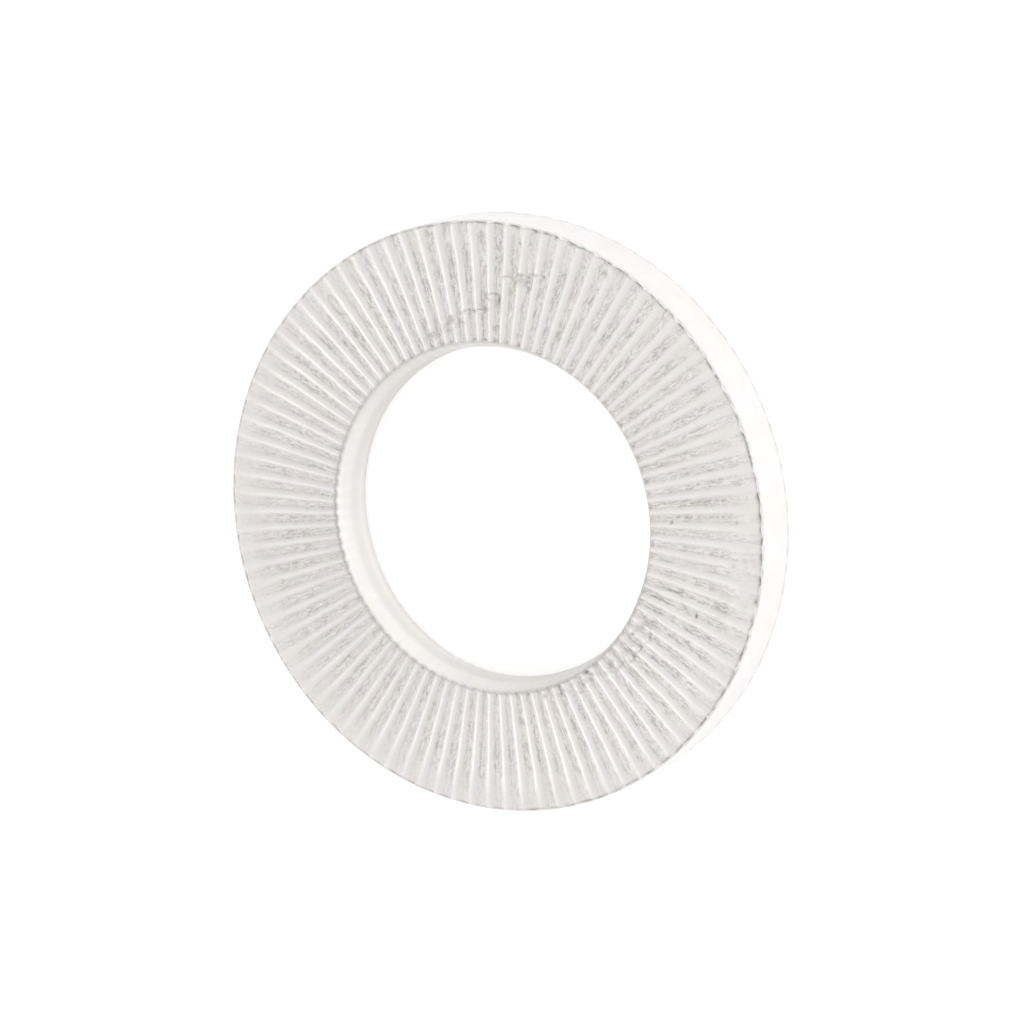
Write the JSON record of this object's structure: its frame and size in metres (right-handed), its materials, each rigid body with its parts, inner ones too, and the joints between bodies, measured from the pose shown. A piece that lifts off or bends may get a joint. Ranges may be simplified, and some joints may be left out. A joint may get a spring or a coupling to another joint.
{
  "type": "ribbed lock washer",
  "caption": "Flat round lock washer with a plain central hole and fine radial ribs on both faces, in pale zinc-coated steel.",
  "frame": {"origin": "centre of the lower face, on the axis of the hole, at the level of the rib tops it lies on", "axes": "+Z along the axis of the hole, up through the face that the picture shows; +X through the middle of one groove"},
  "size_m": [0.03, 0.03, 0.003],
  "materials": {
    "zinc_coated_steel": "matt pale zinc coating, satin on the rib tops and rougher in the grooves"
  },
  "bodies": {
    "root": {"lock_washer": "zinc_coated_steel"}
  },
  "joints": []
}
